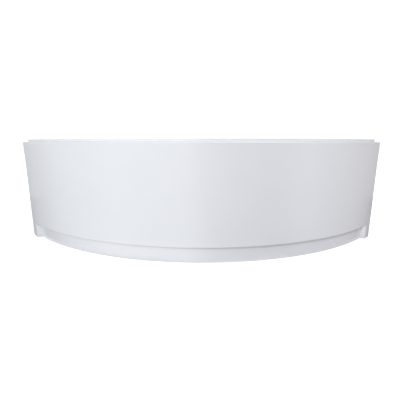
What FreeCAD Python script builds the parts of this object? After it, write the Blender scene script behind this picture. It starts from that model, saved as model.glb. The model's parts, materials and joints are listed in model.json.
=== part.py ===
import FreeCAD
import Part
import math
import os

# Front panel of a quarter-round corner bath, formed from one sheet of acrylic. The tall convex
# face carries a ledge and a lip that tucks up behind the bath's rim, a toe recess is pressed in
# along the floor between two piers, and each end turns back as a flange that lies on the wall.
# All lengths are in millimetres and all angles in degrees. The face looks along -Y, +Z is up.

# Face and sheet. A bend is the radius on the inner side of the sheet.
face_radius = 1450.0
panel_angle = 90.0
face_height = 560.0
sheet = 5.0
rim_bend = 1.0
end_bend = 5.0

# Ledge under the bath's rim, and the lip that stands behind it and turns back at both ends
ledge_depth = 22.0
lip_height = 14.0
lip_root_radius = 9.0
lip_corner_bend = 7.0

# Flange turned back at each end, as far as this behind all that is set back from the face
flange_reach = 6.0

# Toe recess, with drafted end walls that sweep into its back
recess_height = 80.0
recess_depth = 22.0
pier_width = 72.0
recess_end_draft = 35.0
recess_end_sweep = 24.0
recess_roof_radius = 8.0
recess_mouth_bend = 1.0

# Radii on the front of the sheet, and places that follow from the sizes
rim_radius = rim_bend + sheet
end_radius = end_bend + sheet
lip_corner_radius = lip_corner_bend + sheet
mouth_radius = recess_mouth_bend + sheet
half_angle = math.radians(panel_angle / 2)
plinth_radius = face_radius - recess_depth
flange_depth = max(ledge_depth + lip_corner_radius, recess_depth + sheet) + flange_reach
back_radius = face_radius - flange_depth
axis_y = (face_radius + back_radius * math.cos(half_angle)) / 2
axis = FreeCAD.Vector(0, axis_y, 0)

# The inner side is cut this far past the sheet's open sides
past_sheet = 2 * sheet


def polar(radius, angle):
    """Point in plan at a radius from the arc's axis, and an angle from the middle towards +X."""
    return FreeCAD.Vector(radius * math.sin(angle), axis_y - radius * math.cos(angle), 0)


def mirrored(point):
    return FreeCAD.Vector(-point.x, point.y, point.z)


def arc(start, middle, end):
    return Part.Arc(start, middle, end).toShape()


def line(start, end):
    return Part.makeLine(start, end)


def closed_face(right_edges, front, back):
    """Face bounded by a right half, its mirror image, and one arc in front and one behind."""
    left_edges = [edge.mirror(FreeCAD.Vector(0, 0, 0), FreeCAD.Vector(1, 0, 0)) for edge in right_edges]
    edges = Part.__sortEdges__(right_edges + left_edges + [front, back])
    return Part.Face(Part.Wire(edges))


def sector(radius, gap, corner, rear):
    """Sector of a ring: its ends lie a gap inside the panel's ends and its front corners are rounded."""
    along = FreeCAD.Vector(math.sin(half_angle), -math.cos(half_angle), 0)
    inwards = FreeCAD.Vector(-math.cos(half_angle), -math.sin(half_angle), 0)
    reach = math.sqrt((radius - corner) ** 2 - (gap + corner) ** 2)
    centre = axis + along * reach + inwards * (gap + corner)
    front_end = polar(radius, half_angle - math.asin((gap + corner) / (radius - corner)))
    side_start = axis + along * reach + inwards * gap
    to_front = (front_end - centre).normalize()
    to_side = (side_start - centre).normalize()
    crown = centre + (to_front + to_side).normalize() * corner
    side_end = axis + along * math.sqrt(rear ** 2 - gap ** 2) + inwards * gap
    right = [arc(front_end, crown, side_start), line(side_start, side_end)]
    front = arc(front_end, polar(radius, 0), mirrored(front_end))
    back = arc(side_end, polar(rear, 0), mirrored(side_end))
    return closed_face(right, front, back)


def edge_points(edge):
    first, last = edge.FirstParameter, edge.LastParameter
    return [edge.valueAt(first + (last - first) * share) for share in (0.0, 0.25, 0.5, 0.75, 1.0)]


def distance_from_axis(point):
    return math.hypot(point.x, point.y - axis_y)


def recess(inset):
    """Solid that the toe recess takes away, grown by an inset for the sheet's inner side."""
    draft = math.radians(recess_end_draft)
    mouth_angle = half_angle - pier_width / face_radius
    radial = polar(1, mouth_angle) - polar(0, mouth_angle)
    tangent = FreeCAD.Vector(math.cos(mouth_angle), math.sin(mouth_angle), 0)
    into = radial * -math.cos(draft) - tangent * math.sin(draft)
    normal = tangent * math.cos(draft) - radial * math.sin(draft)
    # the sweep's centre lies its own radius off the end wall and off the recess's back
    start = polar(face_radius, mouth_angle) - normal * recess_end_sweep - axis
    half_b = start.dot(into)
    offset = start.dot(start) - (plinth_radius + recess_end_sweep) ** 2
    centre = axis + start + into * (-half_b - math.sqrt(half_b ** 2 - offset))
    sweep = recess_end_sweep + inset
    to_back = (axis - centre).normalize()
    wall_foot = centre + normal * sweep
    back_foot = centre + to_back * sweep
    crown = centre + (normal + to_back).normalize() * sweep
    wall_top = wall_foot - into * (recess_depth + recess_end_sweep + past_sheet)
    right = [line(wall_top, wall_foot), arc(wall_foot, crown, back_foot)]
    front_radius = distance_from_axis(wall_top)
    front = arc(wall_top, polar(front_radius, 0), mirrored(wall_top))
    back = arc(back_foot, polar(plinth_radius - inset, 0), mirrored(back_foot))
    roof = recess_height + inset
    block = closed_face(right, front, back).extrude(FreeCAD.Vector(0, 0, roof + past_sheet))
    block.translate(FreeCAD.Vector(0, 0, -past_sheet))
    rim = []
    for edge in block.Edges:
        points = edge_points(edge)
        level = all(abs(point.z - roof) < 1e-6 for point in points)
        outermost = all(abs(distance_from_axis(point) - front_radius) < 1e-3 for point in points)
        if level and not outermost:
            rim.append(edge)
    return block.makeFillet(recess_roof_radius + inset, rim)


def edges_along(body, outline, level, rear):
    """Edges of a body that follow a plan outline at one level, without those on its rear arc."""
    outline.translate(FreeCAD.Vector(0, 0, level))
    found = []
    for edge in body.Edges:
        points = edge_points(edge)
        on_line = all(Part.Vertex(point).distToShape(outline)[0] < 1e-3 for point in points)
        on_rear = all(abs(distance_from_axis(point) - rear) < 1e-3 for point in points)
        if on_line and not on_rear:
            found.append(edge)
    return found


def skin(inset):
    """Everything behind the sheet's front, or behind its inner side where an inset is given."""
    past = past_sheet if inset else 0.0
    rear = back_radius - past
    top = face_height - inset
    lip_radius = face_radius - ledge_depth - inset
    lip_gap = ledge_depth + inset
    block = sector(face_radius - inset, inset, end_radius - inset, rear)
    block = block.extrude(FreeCAD.Vector(0, 0, top + past))
    block.translate(FreeCAD.Vector(0, 0, -past))
    lip = sector(lip_radius, lip_gap, lip_corner_radius - inset, rear)
    lip = lip.extrude(FreeCAD.Vector(0, 0, lip_height + inset + past))
    lip.translate(FreeCAD.Vector(0, 0, top))
    body = block.fuse(lip).removeSplitter()

    # root of the lip, then rounding of the rim, each one run of edges round both ends
    root_line = sector(lip_radius, lip_gap, lip_corner_radius - inset, rear).OuterWire
    rim_line = sector(face_radius - inset, inset, end_radius - inset, rear).OuterWire
    body = body.makeFillet(lip_root_radius + inset, edges_along(body, root_line, top, rear))
    body = body.makeFillet(rim_radius - inset, edges_along(body, rim_line, top, rear))

    # toe recess, with its mouth rounded in one run
    body = body.cut(recess(inset))
    roof = recess_height + inset
    mouth = []
    for edge in body.Edges:
        points = edge_points(edge)
        if any(abs(distance_from_axis(point) - face_radius + inset) > 1e-3 for point in points):
            continue
        if any(point.z > roof + 1e-3 for point in points):
            continue
        if all(abs(point.z + past) < 1e-6 for point in points):
            continue
        mouth.append(edge)
    return body.makeFillet(mouth_radius - inset, mouth)


panel = skin(0.0).cut(skin(sheet))
panel = panel.removeSplitter().Solids[0]

os.makedirs("parts", exist_ok=True)
panel.exportStep("parts/bath_panel.step")
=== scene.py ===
import json
import math

import bpy
import numpy as np
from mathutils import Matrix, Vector


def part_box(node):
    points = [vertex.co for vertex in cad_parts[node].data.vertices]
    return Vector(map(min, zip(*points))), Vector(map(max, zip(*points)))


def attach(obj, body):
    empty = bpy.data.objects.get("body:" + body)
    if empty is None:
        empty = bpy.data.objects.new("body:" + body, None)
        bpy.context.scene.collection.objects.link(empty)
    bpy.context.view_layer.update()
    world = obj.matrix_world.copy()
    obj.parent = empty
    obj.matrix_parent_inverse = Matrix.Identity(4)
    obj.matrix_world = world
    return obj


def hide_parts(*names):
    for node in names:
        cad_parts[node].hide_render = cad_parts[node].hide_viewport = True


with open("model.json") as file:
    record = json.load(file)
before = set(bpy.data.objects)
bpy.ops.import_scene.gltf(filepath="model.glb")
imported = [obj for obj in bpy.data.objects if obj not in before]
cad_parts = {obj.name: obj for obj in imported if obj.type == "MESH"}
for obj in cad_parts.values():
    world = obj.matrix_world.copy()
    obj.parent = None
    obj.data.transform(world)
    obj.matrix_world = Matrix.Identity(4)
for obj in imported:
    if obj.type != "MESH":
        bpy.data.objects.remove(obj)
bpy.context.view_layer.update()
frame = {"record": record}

# Formed panel. One sheet of white acrylic, drawn hot over a mould: the tall convex face with the
# ledge and lip at its top, the toe recess along the floor between two piers, and a flange turned
# back at each end. It is then sawn to size, and its back stays the plain, dull side of the sheet.
mounts = {mount["name"]: mount for mount in frame["record"]["mounts"]}
panel_low, panel_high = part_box("bath_panel")
flange_x, flange_y = mounts["right_wall_flange"]["pos_m"][:2]
flange_facing = mounts["right_wall_flange"]["axis"]
half_angle = math.atan2(flange_facing[1], flange_facing[0])
axis_y = flange_y + flange_x / math.tan(half_angle)
face_radius = axis_y - panel_low.y
back_radius = (axis_y - panel_high.y) / math.cos(half_angle)
face_height = mounts["rim_ledge"]["pos_m"][2]
lip_top = panel_high.z
sheet = 0.005
set_back = face_radius - (axis_y - mounts["floor_edge"]["pos_m"][1]) - sheet / 2
rim_radius = 0.006
end_radius = 0.010
lip_corner_radius = 0.012
lip_root_radius = 0.009
recess_height = 0.080
pier_width = 0.072
recess_end_slope = math.radians(55)
recess_end_sweep = 0.024
recess_roof_radius = 0.008
recess_mouth_radius = 0.006
sawn_rounding = 0.0016
quarter_turn = math.pi / 2
round_stations = 10
sawn_stations = 5
flange_stations = 6
sweep_stations = 18
middle_stations = 130
pier_stations = 8
foot_stations = 8
face_stations = 26
ledge_stations = 5
lip_stations = 5
acrylic_ior = 1.49
noise_low = 0.3
noise_high = 0.7
front_white = (0.800, 0.825, 0.860)
front_white_deep = (0.785, 0.811, 0.848)
back_white = (0.780, 0.795, 0.815)
back_white_deep = (0.745, 0.758, 0.775)
sawn_white = (0.800, 0.815, 0.830)
sawn_cream = (0.800, 0.795, 0.760)


def polar(radius, angle):
    """Plan points at a radius from the arc's axis, and at angles from the middle towards +X."""
    return np.stack([radius * np.sin(angle), axis_y - radius * np.cos(angle)], axis=-1)


def joined(*stretches):
    """Stretches of stations laid end to end. Where two meet, their shared station is kept once."""
    return np.concatenate([stretch[:-1] for stretch in stretches[:-1]] + [stretches[-1]])


def both_sides(right_half, flip):
    """A right half with its mirror image in front of it, so that the stations run from left to right."""
    return np.concatenate([right_half[:0:-1] * flip, right_half])


def plan_line(radius, gap, corner, shares):
    """Plan line of the sheet from one flange round the front to the other, with its outward normals.

    The right half is an arc, a rounded corner and a straight flange. The flange lies a gap inside the
    end plane, which holds the arc's axis, and the corner's centre is one corner radius inside both
    the arc and the flange, so that the three meet in tangent. Shares place the stations on the arc.
    """
    axis = np.array([0.0, axis_y])
    along = np.array([math.sin(half_angle), -math.cos(half_angle)])
    outwards = np.array([math.cos(half_angle), math.sin(half_angle)])
    reach = math.sqrt((radius - corner) ** 2 - (gap + corner) ** 2)
    centre = axis + along * reach - outwards * (gap + corner)
    corner_angle = half_angle - math.asin((gap + corner) / (radius - corner))
    heading = np.linspace(corner_angle, half_angle + quarter_turn, round_stations)
    turning = np.stack([np.sin(heading), -np.cos(heading)], axis=1)
    flange_end = math.sqrt(back_radius ** 2 - gap ** 2) + sawn_rounding
    travel = np.linspace(reach, flange_end, flange_stations)[:, None]
    flange = axis + along * travel - outwards * gap
    angles = shares * corner_angle
    points = joined(polar(radius, angles), centre + corner * turning, flange)
    normals = joined(polar(1.0, angles) - axis, turning, np.tile(outwards, (len(travel), 1)))
    mirror = np.array([-1.0, 1.0])
    return both_sides(points, mirror), both_sides(normals, mirror)


def recess_end_run():
    """End of the recess in plan, from its back out to the face, as distance along the face and depth.

    A wide sweep turns from the recess's back to the sloping end wall, and the mouth's small rounding
    turns from the wall to the face. The wall between them is straight and takes the depth that is left.
    """
    sweep = np.linspace(0, recess_end_slope, sweep_stations)
    mouth = np.linspace(recess_end_slope, 0, round_stations)
    sweep_run = recess_end_sweep * np.sin(sweep)
    sweep_depth = set_back - recess_end_sweep * (1 - np.cos(sweep))
    mouth_depth = recess_mouth_radius * (1 - np.cos(mouth))
    wall_run = (sweep_depth[-1] - mouth_depth[0]) / math.tan(recess_end_slope)
    wall_end = sweep_run[-1] + wall_run
    mouth_run = wall_end + recess_mouth_radius * (math.sin(recess_end_slope) - np.sin(mouth))
    return np.concatenate([sweep_run, mouth_run]), np.concatenate([sweep_depth, mouth_depth])


end_run, end_depth = recess_end_run()
mouth_start = pier_width - recess_mouth_radius * math.tan(recess_end_slope / 2)
mouth_angle = half_angle - mouth_start / face_radius
end_angles = mouth_angle - (end_run[-1] - end_run) / face_radius
corner_start = half_angle - math.asin(end_radius / (face_radius - end_radius))
middle_angles = np.linspace(0, end_angles[0], middle_stations)
pier_angles = np.linspace(mouth_angle, corner_start, pier_stations)
arc_angles = joined(middle_angles, end_angles, pier_angles)
arc_shares = arc_angles / corner_start
face_line, face_normals = plan_line(face_radius, 0.0, end_radius, arc_shares)
lip_line, lip_normals = plan_line(face_radius - set_back, set_back, lip_corner_radius, arc_shares)
depth_half = np.zeros(len(face_line) // 2 + 1)
depth_half[:len(arc_angles)] = np.interp(arc_angles, end_angles, end_depth)
recess_line = face_line - face_normals * both_sides(depth_half, 1.0)[:, None]
recess_step = np.gradient(recess_line, axis=0)
recess_normals = np.stack([recess_step[:, 1], -recess_step[:, 0]], axis=1)
recess_normals /= np.linalg.norm(recess_normals, axis=1, keepdims=True)


def panel_skin(inset):
    """One side of the sheet as a grid of points: its front, or its back at an inset of the thickness.

    Rows run from the floor to the lip's top, columns from left to right. Up to the face a point lies
    between two plan lines, face + share * (recess - face), where the share is the section's own depth
    at that row: upright recess, concave roof fillet, level roof, convex mouth, upright face. Above
    come the rim's quarter round, the flat ledge out to the lip's plan line, the lip's concave root
    and the upright lip. The inset comes off convex radii and is added to concave ones.
    """
    turn_in = np.linspace(0, quarter_turn, round_stations)
    turn_out = turn_in[::-1]
    fillet_centre = recess_height - recess_roof_radius
    mouth_centre = recess_height + recess_mouth_radius
    fillet = recess_roof_radius + inset
    mouth = recess_mouth_radius - inset
    foot = np.linspace(sawn_rounding, fillet_centre, foot_stations)
    face = np.linspace(mouth_centre, face_height - rim_radius, face_stations)
    fillet_depth = set_back - recess_roof_radius + fillet * np.cos(turn_in)
    mouth_depth = recess_mouth_radius - mouth * np.cos(turn_out)
    depth = np.concatenate([np.full(foot_stations - 1, set_back + inset), fillet_depth,
                            mouth_depth, np.full(face_stations - 1, inset)])
    height = np.concatenate([foot[:-1], fillet_centre + fillet * np.sin(turn_in),
                             mouth_centre - mouth * np.sin(turn_out), face[1:]])
    share = ((depth - inset) / set_back)[:, None, None]
    outer = face_line - face_normals * inset
    inner = recess_line - recess_normals * inset
    lower = outer + share * (inner - outer)

    turn = turn_in[:, None, None]
    rim = face_line - face_normals * (rim_radius - (rim_radius - inset) * np.cos(turn))
    root = lip_line + lip_normals * (lip_root_radius - (lip_root_radius + inset) * np.sin(turn))
    ledge = rim[-1] + np.linspace(0, 1, ledge_stations)[:, None, None] * (root[0] - rim[-1])
    lip = np.repeat(root[-1:], lip_stations, axis=0)
    rim_height = face_height - rim_radius + (rim_radius - inset) * np.sin(turn_in)
    root_height = face_height + lip_root_radius - (lip_root_radius + inset) * np.cos(turn_in)
    ledge_height = np.full(ledge_stations, face_height - inset)
    lip_height = np.linspace(face_height + lip_root_radius, lip_top - sawn_rounding, lip_stations)
    plan = joined(lower, rim, ledge, root, lip)
    rows = joined(height, rim_height, ledge_height, root_height, lip_height)
    rows = np.broadcast_to(rows[:, None, None], plan.shape[:2] + (1,))
    return np.concatenate([plan, rows], axis=2)


def quads(number):
    """Faces of a grid of vertex numbers, one quad for each of its cells."""
    corners = [number[:-1, :-1], number[:-1, 1:], number[1:, 1:], number[1:, :-1]]
    return np.stack(corners, axis=-1).reshape(-1, 4)


def panel_mesh():
    """Closed mesh of the sheet: its front and back grids, joined by a rounded edge all round the border.

    Along the border, a row at turn a lies in from the front by rounding * (1 - cos a) and out past the
    cut by rounding * sin a, up to the middle of the edge, and then the same towards the back.
    Returns the points, the quads, and the finish of each quad: 0 front, 1 back, 2 sawn edge.
    """
    front = panel_skin(0.0)
    back = panel_skin(sheet)
    row_count, column_count = front.shape[:2]
    number = np.arange(row_count * column_count).reshape(row_count, column_count)
    front_faces = quads(number)
    back_faces = front_faces[:, ::-1] + number.size

    border = np.concatenate([number[0, :-1], number[:-1, -1], number[-1, :0:-1], number[:0:-1, 0]])
    away = np.zeros((row_count, column_count, 3))
    away[0, :, 2] -= 1.0
    away[-1, :, 2] += 1.0
    away[:, 0, :2] += [math.sin(half_angle), math.cos(half_angle)]
    away[:, -1, :2] += [-math.sin(half_angle), math.cos(half_angle)]
    front_edge, back_edge, away = (grid.reshape(-1, 3)[border] for grid in (front, back, away))
    inwards = (back_edge - front_edge) / np.linalg.norm(back_edge - front_edge, axis=1, keepdims=True)
    turn = np.linspace(0, quarter_turn, sawn_stations)[1:, None, None]
    near = front_edge + sawn_rounding * ((1 - np.cos(turn)) * inwards + np.sin(turn) * away)
    far = back_edge - sawn_rounding * ((1 - np.cos(turn)) * inwards - np.sin(turn) * away)
    edge_rows = np.concatenate([near, far[::-1]])
    edge_numbers = 2 * number.size + np.arange(edge_rows.shape[0] * len(border)).reshape(-1, len(border))
    rings = np.concatenate([border[None], edge_numbers, border[None] + number.size])
    rings = np.concatenate([rings, rings[:, :1]], axis=1)
    edge_faces = quads(rings[::-1])

    points = np.concatenate([front.reshape(-1, 3), back.reshape(-1, 3), edge_rows.reshape(-1, 3)])
    faces = np.concatenate([front_faces, back_faces, edge_faces])
    finish = np.repeat([0, 1, 2], [len(front_faces), len(back_faces), len(edge_faces)])
    return points, faces, finish


def finish_nodes(name):
    """A material with its node tree, its shader, and the Object coordinates that its patterns read."""
    material = bpy.data.materials.new(name)
    material.use_nodes = True
    nodes = material.node_tree.nodes
    place = nodes.new("ShaderNodeTexCoord").outputs["Object"]
    shader = nodes["Principled BSDF"]
    shader.inputs["IOR"].default_value = acrylic_ior
    return material, shader, place


def pattern(material, place, scale, detail):
    """Noise on the piece's own coordinates, with so many features to the metre."""
    noise = material.node_tree.nodes.new("ShaderNodeTexNoise")
    noise.inputs["Scale"].default_value = scale
    noise.inputs["Detail"].default_value = detail
    material.node_tree.links.new(place, noise.inputs["Vector"])
    return noise.outputs["Fac"]


def blend_colour(material, share, low, high):
    """A colour that goes from low to high over the span of shares where noise mostly lies."""
    ramp = material.node_tree.nodes.new("ShaderNodeValToRGB")
    ramp.color_ramp.elements[0].position = noise_low
    ramp.color_ramp.elements[0].color = (*low, 1)
    ramp.color_ramp.elements[1].position = noise_high
    ramp.color_ramp.elements[1].color = (*high, 1)
    material.node_tree.links.new(share, ramp.inputs["Fac"])
    return ramp.outputs["Color"]


def blend_value(material, share, low, high):
    """A number that goes from low to high over the same span of shares."""
    span = material.node_tree.nodes.new("ShaderNodeMapRange")
    span.inputs["From Min"].default_value = noise_low
    span.inputs["From Max"].default_value = noise_high
    span.inputs["To Min"].default_value = low
    span.inputs["To Max"].default_value = high
    material.node_tree.links.new(share, span.inputs["Value"])
    return span.outputs["Result"]


def relief(material, height, depth, under=None):
    """A bump of a real depth, laid over another bump where one is given."""
    bump = material.node_tree.nodes.new("ShaderNodeBump")
    bump.inputs["Distance"].default_value = depth
    material.node_tree.links.new(height, bump.inputs["Height"])
    if under is not None:
        material.node_tree.links.new(under, bump.inputs["Normal"])
    return bump.outputs["Normal"]


def acrylic_gloss():
    """Polished front: a cool white that drifts a little in shade, with long shallow waves in it."""
    material, shader, place = finish_nodes("acrylic_gloss")
    links = material.node_tree.links
    drift = pattern(material, place, scale=3.0, detail=2.0)
    smears = pattern(material, place, scale=14.0, detail=4.0)
    swells = pattern(material, place, scale=5.0, detail=1.0)
    pores = pattern(material, place, scale=450.0, detail=1.0)
    skin = relief(material, pores, depth=0.0000008, under=relief(material, swells, depth=0.0006))
    links.new(blend_colour(material, drift, front_white, front_white_deep), shader.inputs["Base Color"])
    links.new(blend_value(material, smears, low=0.05, high=0.09), shader.inputs["Roughness"])
    links.new(skin, shader.inputs["Normal"])
    return material


def acrylic_back():
    """Plain back of the same sheet: a duller white with the fine grain of unpolished acrylic."""
    material, shader, place = finish_nodes("acrylic_back")
    links = material.node_tree.links
    drift = pattern(material, place, scale=4.0, detail=3.0)
    clouds = pattern(material, place, scale=20.0, detail=4.0)
    grain = relief(material, pattern(material, place, scale=700.0, detail=2.0), depth=0.00005)
    links.new(blend_colour(material, drift, back_white, back_white_deep), shader.inputs["Base Color"])
    links.new(blend_value(material, clouds, low=0.38, high=0.52), shader.inputs["Roughness"])
    links.new(grain, shader.inputs["Normal"])
    return material


def acrylic_sawn():
    """Sawn edge: the sheet's own white, dulled by the blade and a little uneven along the cut."""
    material, shader, place = finish_nodes("acrylic_sawn")
    links = material.node_tree.links
    drift = pattern(material, place, scale=11.0, detail=2.0)
    chatter = pattern(material, place, scale=900.0, detail=1.0)
    links.new(blend_colour(material, drift, sawn_white, sawn_cream), shader.inputs["Base Color"])
    links.new(blend_value(material, chatter, low=0.42, high=0.60), shader.inputs["Roughness"])
    links.new(relief(material, chatter, depth=0.00008), shader.inputs["Normal"])
    return material


panel_points, panel_faces, panel_finish = panel_mesh()
panel = bpy.data.meshes.new("formed_panel")
panel.from_pydata(panel_points, [], panel_faces)
panel.polygons.foreach_set("material_index", panel_finish.astype(np.int32))
panel.polygons.foreach_set("use_smooth", np.ones(len(panel_faces), dtype=bool))
panel.update()
for finish in (acrylic_gloss(), acrylic_back(), acrylic_sawn()):
    panel.materials.append(finish)
formed_panel = bpy.data.objects.new("formed_panel", panel)
bpy.context.scene.collection.objects.link(formed_panel)
even_shading = formed_panel.modifiers.new("even_shading", "WEIGHTED_NORMAL")
even_shading.weight = 100
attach(formed_panel, "root")
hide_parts("bath_panel")

# Studio floor. A pale painted floor, level with the panel's sawn foot. To the eye it runs out to
# white, and near the panel it keeps the soft shadow that the lamps give.
floor_half = 12.0
floor_pale = (0.585, 0.525, 0.545)
near_white = 0.78
fade_start = 1.2
fade_end = 2.4


def seen_directly(tree):
    """1 for what the eye sees, straight, in gloss or through glass, and 0 for light that is scattered."""
    path = tree.nodes.new("ShaderNodeLightPath")
    camera_or_gloss = tree.nodes.new("ShaderNodeMath")
    camera_or_gloss.operation = "MAXIMUM"
    seen = tree.nodes.new("ShaderNodeMath")
    seen.operation = "MAXIMUM"
    tree.links.new(path.outputs["Is Camera Ray"], camera_or_gloss.inputs[0])
    tree.links.new(path.outputs["Is Glossy Ray"], camera_or_gloss.inputs[1])
    tree.links.new(camera_or_gloss.outputs["Value"], seen.inputs[0])
    tree.links.new(path.outputs["Is Transmission Ray"], seen.inputs[1])
    return seen.outputs["Value"]


def floor_paint():
    """Matt paint, plus white for the eye: its strength grows from near_white to 1 away from the panel."""
    material = bpy.data.materials.new("floor_paint")
    material.use_nodes = True
    tree = material.node_tree
    tree.nodes.remove(tree.nodes["Principled BSDF"])
    paint = tree.nodes.new("ShaderNodeBsdfDiffuse")
    paint.inputs["Color"].default_value = (*floor_pale, 1)
    white = tree.nodes.new("ShaderNodeEmission")
    both = tree.nodes.new("ShaderNodeAddShader")
    place = tree.nodes.new("ShaderNodeTexCoord")
    distance = tree.nodes.new("ShaderNodeVectorMath")
    distance.operation = "LENGTH"
    fade = tree.nodes.new("ShaderNodeMapRange")
    fade.interpolation_type = "SMOOTHSTEP"
    fade.inputs["From Min"].default_value = fade_start
    fade.inputs["From Max"].default_value = fade_end
    fade.inputs["To Min"].default_value = near_white
    fade.inputs["To Max"].default_value = 1.0
    strength = tree.nodes.new("ShaderNodeMath")
    strength.operation = "MULTIPLY"
    tree.links.new(place.outputs["Object"], distance.inputs[0])
    tree.links.new(distance.outputs["Value"], fade.inputs["Value"])
    tree.links.new(fade.outputs["Result"], strength.inputs[0])
    tree.links.new(seen_directly(tree), strength.inputs[1])
    tree.links.new(strength.outputs["Value"], white.inputs["Strength"])
    tree.links.new(paint.outputs["BSDF"], both.inputs[0])
    tree.links.new(white.outputs["Emission"], both.inputs[1])
    tree.links.new(both.outputs["Shader"], tree.nodes["Material Output"].inputs["Surface"])
    return material


floor_mesh = bpy.data.meshes.new("studio_floor")
floor_mesh.from_pydata([(-floor_half, -floor_half, 0), (floor_half, -floor_half, 0),
                        (floor_half, floor_half, 0), (-floor_half, floor_half, 0)], [], [(0, 1, 2, 3)])
floor_mesh.materials.append(floor_paint())
studio_floor = bpy.data.objects.new("studio_floor", floor_mesh)
bpy.context.scene.collection.objects.link(studio_floor)

# Studio room. White to the eye all round. For the light that is scattered it gives a soft fill, which
# is stronger overhead: it grows with the upward share of a direction, from overhead_start to 1.
room_fill = 0.285
room_ceiling = 0.70
overhead_start = 0.5
room_white = 1.05
room = bpy.data.worlds.new("studio_room")
bpy.context.scene.world = room
room.use_nodes = True
room_tree = room.node_tree
room_place = room_tree.nodes.new("ShaderNodeTexCoord")
room_height = room_tree.nodes.new("ShaderNodeSeparateXYZ")
room_tree.links.new(room_place.outputs["Generated"], room_height.inputs["Vector"])
room_light = room_tree.nodes.new("ShaderNodeMapRange")
room_light.interpolation_type = "SMOOTHSTEP"
room_light.inputs["From Min"].default_value = overhead_start
room_light.inputs["To Min"].default_value = room_fill
room_light.inputs["To Max"].default_value = room_ceiling
room_tree.links.new(room_height.outputs["Z"], room_light.inputs["Value"])
room_level = room_tree.nodes.new("ShaderNodeMapRange")
room_tree.links.new(room_light.outputs["Result"], room_level.inputs["To Min"])
room_level.inputs["To Max"].default_value = room_white
room_tree.links.new(seen_directly(room_tree), room_level.inputs["Value"])
room_tree.links.new(room_level.outputs["Result"], room_tree.nodes["Background"].inputs["Strength"])
room_tree.nodes["Background"].inputs["Color"].default_value = (1, 1, 1, 1)

# Lamps. Big softboxes stand well away, three before the panel and one behind it, higher than the eye, so
# that the upright face shows none of them. Three small lamps near the ceiling give the rim its glints.
stand = 8.0
box_height = 2.4
aim_height = 0.3
aim = Vector((0, panel_low.y, aim_height))
softboxes = {"key": {"azimuth": -30, "height": 2.6, "width": 3.0,
                     "strength": 9.7, "tint": (0.945, 0.993, 1.0)},
             "high": {"azimuth": -9, "height": 6.0, "width": 4.5,
                      "strength": 8.2, "tint": (0.955, 1.0, 0.985)},
             "right": {"azimuth": 78, "height": 6.0, "width": 3.0,
                       "strength": 5.4, "tint": (1.0, 0.905, 0.945)},
             "back": {"azimuth": 180, "height": 5.0, "width": 6.0,
                      "strength": 9.0, "tint": (0.98, 1.0, 1.0)}}
ceiling = 2.6
ceiling_y = -0.9
ceiling_depth = 0.3
ceiling_lamps = ({"middle": -0.86, "width": 0.12},
                 {"middle": -0.47, "width": 0.25},
                 {"middle": -0.24, "width": 0.16})
ceiling_strength = 13.0
down = Vector((0, 0, -1))


def softbox(name, place, facing, width, height, strength):
    """A flat oblong lamp that looks along a direction; at a strength of 1 its front looks white."""
    lamp = bpy.data.lights.new(name, "AREA")
    lamp.shape = "RECTANGLE"
    lamp.size = width
    lamp.size_y = height
    lamp.energy = strength * width * height * math.pi
    box = bpy.data.objects.new(name, lamp)
    bpy.context.scene.collection.objects.link(box)
    box.location = place
    box.rotation_euler = facing.to_track_quat("-Z", "Y").to_euler()
    box.visible_camera = False
    return box


for name, box in softboxes.items():
    side = math.radians(box["azimuth"])
    place = Vector((stand * math.sin(side), panel_low.y - stand * math.cos(side), box["height"]))
    lamp = softbox(name, place, aim - place, box["width"], box_height, box["strength"])
    lamp.data.color = box["tint"]
for number, box in enumerate(ceiling_lamps):
    place = Vector((box["middle"], ceiling_y, ceiling))
    lamp = softbox(f"ceiling_{number}", place, down, box["width"], ceiling_depth, ceiling_strength)
    lamp.visible_diffuse = False

# Board. A light board laid on the floor before the panel and turned up at its far edge, spread out the
# way the face mirrors the room to the eye. Only gloss sees it: bright on the left and dim on the right.
board_spread = 2.95
board_gap = 0.002
board_reach = 4.5
board_height = 6.0
board_lift = 0.001
glow_angles = (-46, -34, -16, -2, 2, 8, 14, 21, 33, 46)
glow_levels = (0.45, 0.35, 2.4, 1.9, 0.5, 0.0, 0.0, 1.4, 0.75, 0.4)
foot_levels = (0.45, 0.35, 3.0, 2.9, 1.05, 0.0, 0.0, 0.6, 0.85, 0.45)
foot_reach = 0.45
shade_angles = (32, 42)
shade_levels = (0.0, 0.35)
shade_reach = 1.5
shade_edge = 0.01
arc_stations = 93
strip_stations = 7
far_stations = 16
upright_stations = 5


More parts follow.
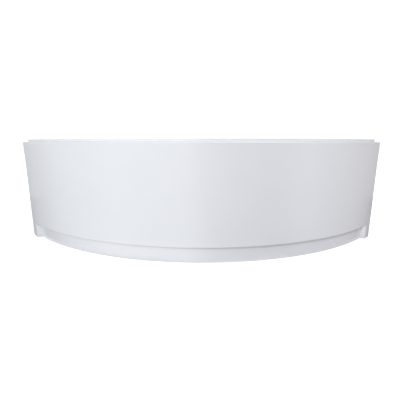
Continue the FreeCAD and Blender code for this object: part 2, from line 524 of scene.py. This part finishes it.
def board_mesh():
    """Ruled surface from the face's foot out along the floor and up, with the glow at each point.

    At angle a along the arc it leaves the foot in the direction spread * a, so that each stretch of the
    face mirrors its own part. The glow changes along the arc, evenly between the angles given, and out
    from the foot, where it has levels of its own, evenly to those of the rest. Near both ends a strip
    along the foot is dimmer, up to a sharp edge.
    """
    degrees = np.linspace(glow_angles[0], glow_angles[-1], arc_stations)
    angle = np.radians(degrees)
    strip = joined(np.linspace(0, foot_reach, strip_stations),
                   np.linspace(foot_reach, shade_reach, strip_stations))
    level = np.concatenate([strip, np.linspace(shade_reach + shade_edge, board_reach, far_stations)])
    reach = joined(level, np.full(upright_stations, board_reach))
    rise = np.linspace(board_lift, board_height, upright_stations)
    height = joined(np.full(len(level), board_lift), rise)
    foot = polar(face_radius + board_gap, angle)
    heading = np.stack([np.sin(board_spread * angle), -np.cos(board_spread * angle)], axis=1)
    plan = foot + reach[:, None, None] * heading
    rows = np.broadcast_to(height[:, None, None], plan.shape[:2] + (1,))
    at_foot = np.clip(1 - reach / foot_reach, 0, 1)[:, None]
    glow = np.interp(degrees, glow_angles, glow_levels) * (1 - at_foot)
    glow = glow + np.interp(degrees, glow_angles, foot_levels) * at_foot
    shade = np.interp(np.abs(degrees), shade_angles, shade_levels)
    glow = np.maximum(glow - (reach <= shade_reach)[:, None] * shade, 0)
    number = np.arange(glow.size).reshape(glow.shape)
    return np.concatenate([plan, rows], axis=2).reshape(-1, 3), quads(number), glow.ravel()


def board_light():
    """Plain light, as strong as the glow that is stored on the board."""
    material = bpy.data.materials.new("board_light")
    material.use_nodes = True
    tree = material.node_tree
    tree.nodes.remove(tree.nodes["Principled BSDF"])
    light = tree.nodes.new("ShaderNodeEmission")
    glow = tree.nodes.new("ShaderNodeAttribute")
    glow.attribute_name = "glow"
    tree.links.new(glow.outputs["Fac"], light.inputs["Strength"])
    tree.links.new(light.outputs["Emission"], tree.nodes["Material Output"].inputs["Surface"])
    return material


board_points, board_faces, glow_values = board_mesh()
board = bpy.data.meshes.new("light_board")
board.from_pydata(board_points, [], board_faces)
board.attributes.new("glow", "FLOAT", "POINT").data.foreach_set("value", glow_values.astype(np.float32))
board.materials.append(board_light())
light_board = bpy.data.objects.new("light_board", board)
bpy.context.scene.collection.objects.link(light_board)
light_board.visible_camera = False
light_board.visible_diffuse = False
light_board.visible_transmission = False
light_board.visible_shadow = False

# Camera. It stands close before the panel, level with the top of its face and a little to the right of
# its middle, and looks slightly down and to the left. Place and lens were fitted to the panel's outlines.
eye = (0.0249, panel_low.y - 1.2160, 0.5590)
look_down = math.radians(11.655)
turn_left = math.radians(0.848)
camera_data = bpy.data.cameras.new("camera")
camera_data.sensor_width = 36.0
camera_data.lens = 25.26
camera = bpy.data.objects.new("camera", camera_data)
bpy.context.scene.collection.objects.link(camera)
camera.location = eye
camera.rotation_euler = (quarter_turn - look_down, 0, turn_left)
bpy.context.scene.camera = camera
bpy.context.scene.view_settings.view_transform = "Standard"
